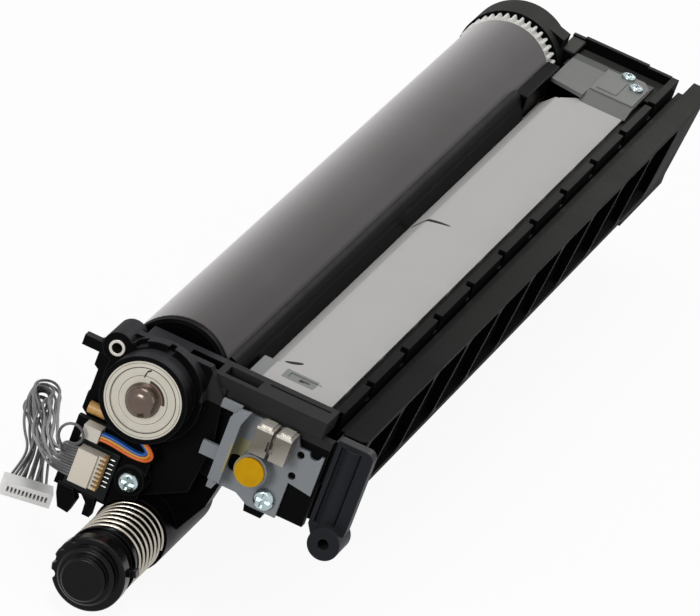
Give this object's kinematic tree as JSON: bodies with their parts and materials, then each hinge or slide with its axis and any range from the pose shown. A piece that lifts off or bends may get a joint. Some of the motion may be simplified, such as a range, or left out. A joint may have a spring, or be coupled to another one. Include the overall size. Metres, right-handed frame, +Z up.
{
  "type": "printer drum unit",
  "caption": "Coated drum in a long moulded frame, with a cleaning blade, a waste toner worm and its sprung outlet shutter, a charge roller, a small board and a harness.",
  "frame": {"origin": "centre of the outer face of the front bearing and its collar, on the drum's axis", "axes": "+Y runs along the drum to the rear, +X points to the blade side, +Z is up as the unit sits in its machine"},
  "size_m": [0.1129, 0.4155, 0.0684],
  "materials": {
    "coated_drum": "satin",
    "black_moulding": "satin",
    "end_moulding": "satin",
    "gear_white": "matt",
    "gear_black": "matt",
    "ground_steel": "ground",
    "sheet_steel": "zinc plated",
    "earth_steel": "bare",
    "bearing_steel": "ground",
    "shield": "pressed",
    "spring_steel": "bright wire",
    "screw_zinc": "zinc plated",
    "bright_brass": "turned",
    "blade_rubber": "matt",
    "roller_rubber": "matt",
    "film": "matt",
    "outlet_black": "gloss",
    "bracket_grey": "satin",
    "plated_contact": "plated",
    "mark_yellow": "matt",
    "board_green": "lacquered",
    "connector_cream": "satin",
    "connector_white": "satin",
    "capacitor_tan": "glazed",
    "wire_blue": "satin",
    "wire_yellow": "satin",
    "wire_red": "satin",
    "wire_orange": "satin",
    "wire_grey": "satin"
  },
  "bodies": {
    "frame": {"bearing_outer_ring": "bearing_steel", "bearing_balls": "bearing_steel", "bearing_shield": "shield", "charge_housing": "black_moulding", "idler_pin": "ground_steel", "side_frame": "black_moulding", "recovery_seal": "film", "blade_holder": "sheet_steel", "cleaning_blade": "blade_rubber", "guard_strip": "black_moulding", "rear_bridge": "sheet_steel", "earth_plate": "earth_steel", "front_end": "end_moulding", "locating_sleeve": "bright_brass", "locating_arm": "black_moulding", "rear_end": "black_moulding", "rear_bush": "gear_black", "outlet_housing": "outlet_black", "outlet_tube": "outlet_black", "shutter_spring": "spring_steel", "terminal_bracket": "bracket_grey", "contact_block": "plated_contact", "colour_mark": "mark_yellow", "end_screws": "screw_zinc", "holder_screws": "screw_zinc", "control_board": "board_green", "board_connector": "connector_cream", "lamp_connector": "connector_white", "ceramic_capacitor": "capacitor_tan", "harness_bundle": "wire_grey", "harness_plug": "connector_white", "blue_leads": "wire_blue", "yellow_lead": "wire_yellow", "red_lead": "wire_red", "orange_lead": "wire_orange"},
    "drum": {"drum_tube": "coated_drum", "drum_front_flange": "black_moulding", "drum_gear": "gear_white", "drum_shaft": "ground_steel", "bearing_inner_ring": "bearing_steel", "drive_coupling": "gear_white"},
    "charge": {"charge_roller": "roller_rubber", "charge_shaft": "ground_steel", "charge_gear": "gear_black"},
    "worm": {"auger": "black_moulding", "auger_shaft": "ground_steel", "auger_gear": "gear_white"},
    "idler": {"idler_gear": "gear_white"},
    "outlet_shutter": {"shutter": "outlet_black"}
  },
  "joints": [
    {"name": "drum_spin", "type": "hinge", "parent": "frame", "child": "drum", "pos_m": [0, 0, 0], "axis": [0, 1, 0], "continuous": true},
    {"name": "charge_spin", "type": "hinge", "parent": "frame", "child": "charge", "pos_m": [-0.00872, 0, -0.01869], "axis": [0, 1, 0], "continuous": true},
    {"name": "idler_spin", "type": "hinge", "parent": "frame", "child": "idler", "pos_m": [0.01425, 0, -0.01543], "axis": [0, 1, 0], "continuous": true},
    {"name": "worm_spin", "type": "hinge", "parent": "frame", "child": "worm", "pos_m": [0.027, 0, -0.011], "axis": [0, 1, 0], "continuous": true},
    {"name": "shutter_slide", "type": "slide", "parent": "frame", "child": "outlet_shutter", "axis": [0, 1, 0], "range_m": [0, 0.008], "stiffness_N_per_m": 150, "springref_m": -0.02, "deforming": ["shutter_spring"]}
  ],
  "couplings": [
    {"joint": "charge_spin", "follows": "drum_spin", "ratio": -2.6667},
    {"joint": "idler_spin", "follows": "drum_spin", "ratio": -2.5},
    {"joint": "worm_spin", "follows": "drum_spin", "ratio": 2}
  ]
}
